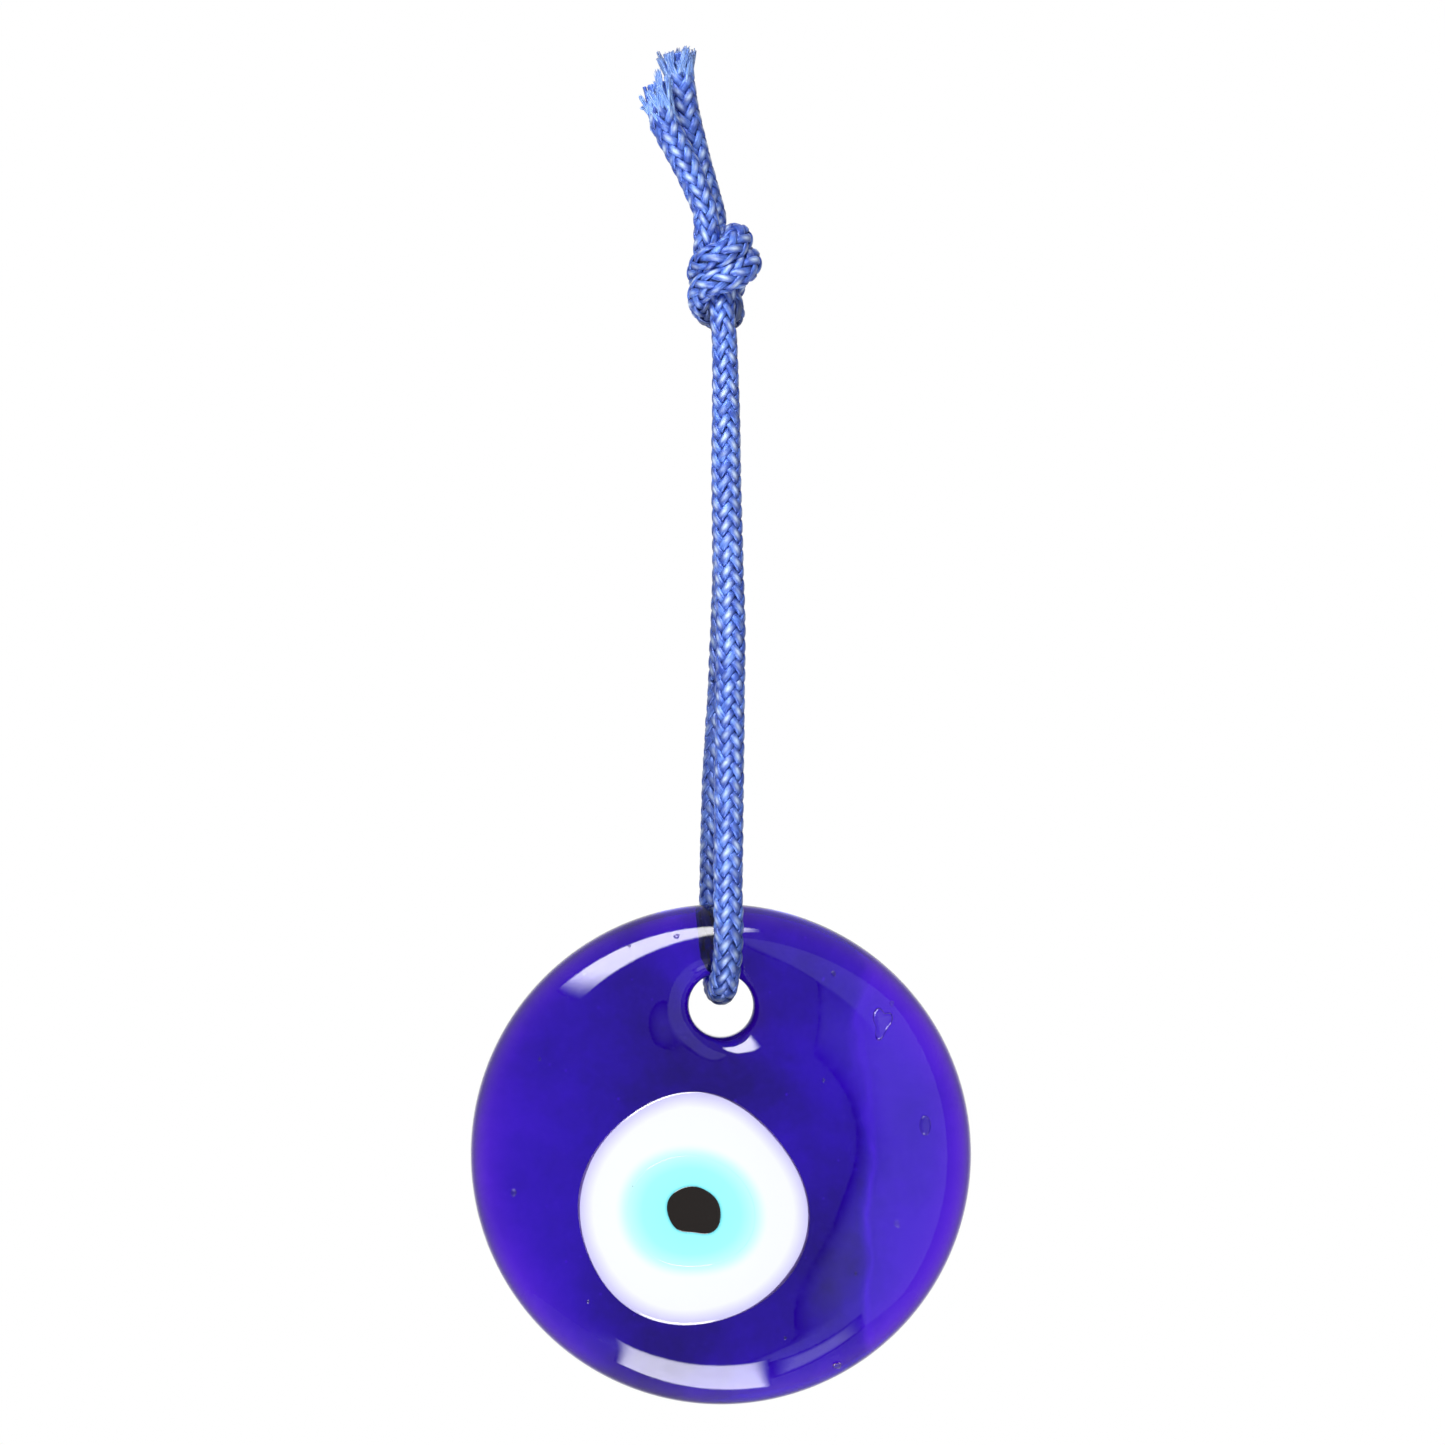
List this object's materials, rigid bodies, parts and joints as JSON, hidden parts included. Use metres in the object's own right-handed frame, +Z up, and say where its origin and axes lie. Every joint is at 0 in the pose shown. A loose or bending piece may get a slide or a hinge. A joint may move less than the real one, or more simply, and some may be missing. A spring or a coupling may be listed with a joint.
{
  "type": "evil eye ornament",
  "caption": "Round cobalt glass disc with a fused glass eye, hung through a hole near its rim on a knotted loop of braided blue cord.",
  "frame": {"origin": "the hang point: just under the knot, between the two strands, where a hook or nail holds the loop", "axes": "+Z up along the hanging cord, the front of the disc faces -Y, +X to the right as seen from the front"},
  "size_m": [0.05, 0.0135, 0.1355],
  "materials": {
    "cobalt_glass": "fire-polished, clear cobalt blue",
    "white_glass": "opaque fused glass, fire-polished",
    "pale_blue_glass": "opaque fused glass, fire-polished",
    "black_glass": "opaque fused glass, fire-polished",
    "blue_braided_cord": "satin braid of twisted filament yarn"
  },
  "bodies": {
    "knot": {"cord_knot": "blue_braided_cord", "cord_tail_front": "blue_braided_cord", "cord_tail_back": "blue_braided_cord"},
    "upper_cord": {"cord_upper_front": "blue_braided_cord", "cord_upper_back": "blue_braided_cord"},
    "lower_cord": {"cord_loop_lower": "blue_braided_cord"},
    "disc": {"glass_disc": "cobalt_glass", "white_drop": "white_glass", "iris_drop": "pale_blue_glass", "pupil_drop": "black_glass"}
  },
  "joints": [
    {"name": "cord_swing", "type": "hinge", "parent": "knot", "child": "upper_cord", "pos_m": [0, 0, 0], "axis": [0, 1, 0], "range_deg": [-45, 45]},
    {"name": "cord_twist", "type": "hinge", "parent": "upper_cord", "child": "lower_cord", "pos_m": [0, 0, -0.034], "axis": [0, 0, 1], "range_deg": [-90, 90]},
    {"name": "disc_swing", "type": "hinge", "parent": "lower_cord", "child": "disc", "pos_m": [0, 0, -0.0648], "axis": [0, 1, 0], "range_deg": [-75, 75]}
  ]
}
